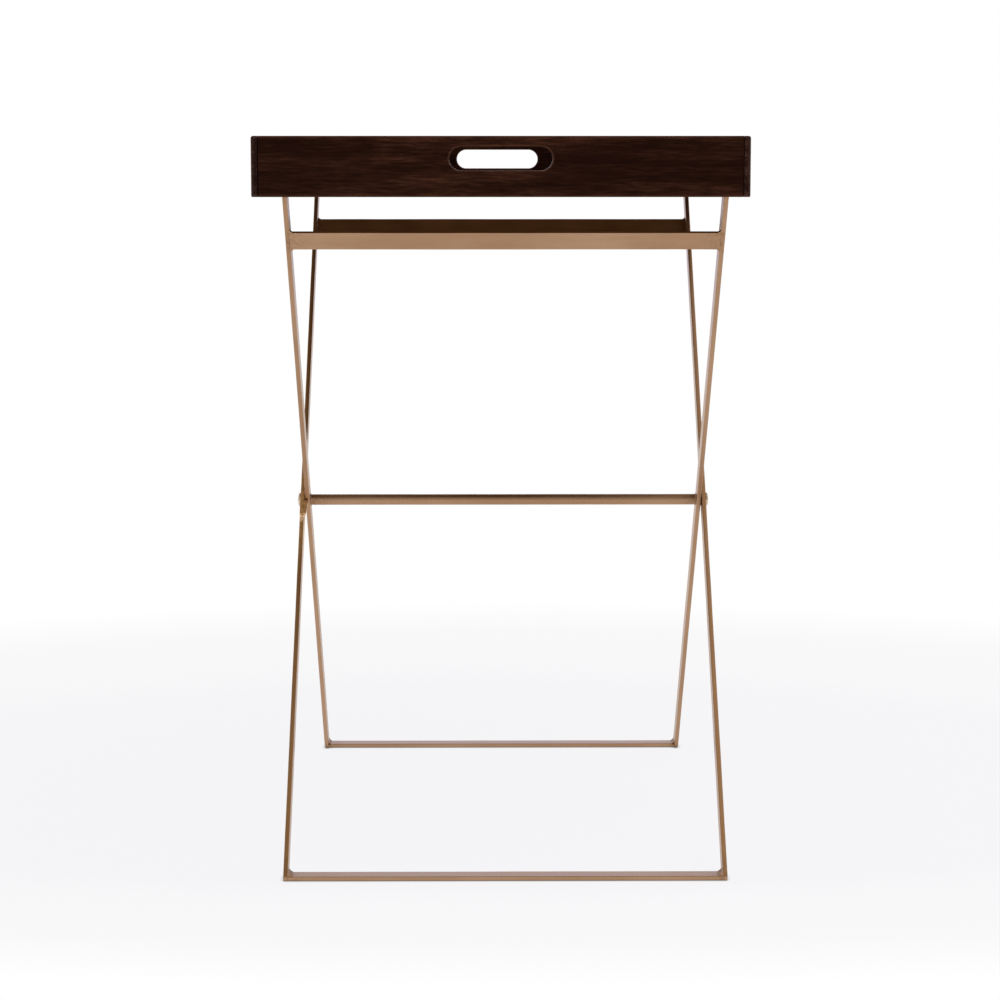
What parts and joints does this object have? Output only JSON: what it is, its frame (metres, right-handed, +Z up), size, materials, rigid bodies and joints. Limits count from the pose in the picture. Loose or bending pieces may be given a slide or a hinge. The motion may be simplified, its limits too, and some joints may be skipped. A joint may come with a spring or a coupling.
{
  "type": "folding tray table",
  "caption": "Folding tray table: a dark wooden serving tray with a hand hole in each end wall, resting on a crossed flat-bar stand that folds flat once the tray is off",
  "frame": {"origin": "on the floor, under the middle of the tray", "axes": "+X right across the frames along the tray's short side, +Y along the tray's long side away from the end shown, +Z up"},
  "size_m": [0.489, 0.711, 0.762],
  "materials": {
    "tray_wood": "dark espresso stain under a satin lacquer",
    "tray_panel": "dark espresso stain under a satin lacquer",
    "frame_brass": "satin antique-brass finish on flat bar, a little mottled at the welds",
    "bolt_brass": "smooth antique brass, a little brighter than the bars",
    "washer_metal": "thin darkened washer"
  },
  "bodies": {
    "outer_frame": {"outer_left_leg": "frame_brass", "outer_right_leg": "frame_brass", "outer_foot_bar": "frame_brass", "outer_top_bar": "frame_brass", "outer_rail": "frame_brass", "stop_tab": "frame_brass"},
    "inner_frame": {"inner_left_leg": "frame_brass", "inner_right_leg": "frame_brass", "inner_foot_bar": "frame_brass", "inner_top_bar": "frame_brass", "inner_rail": "frame_brass", "spreader_bar": "frame_brass", "pivot_bolt_left": "bolt_brass", "pivot_bolt_right": "bolt_brass", "pivot_washer_left": "washer_metal", "pivot_washer_right": "washer_metal"},
    "tray": {"tray_front_wall": "tray_wood", "tray_back_wall": "tray_wood", "tray_left_wall": "tray_wood", "tray_right_wall": "tray_wood", "tray_bottom_panel": "tray_panel"}
  },
  "joints": [
    {"name": "fold", "type": "hinge", "parent": "outer_frame", "child": "inner_frame", "pos_m": [0.005, 0, 0.356], "axis": [-1, 0, 0], "range_deg": [0, 77]},
    {"name": "tray_lift", "type": "slide", "parent": "outer_frame", "child": "tray", "axis": [0, 0, 1], "range_m": [0, 0.46]}
  ],
  "couplings": [
    {"joint": "tray_lift", "follows": "fold", "m_per_rad": 0.34}
  ]
}
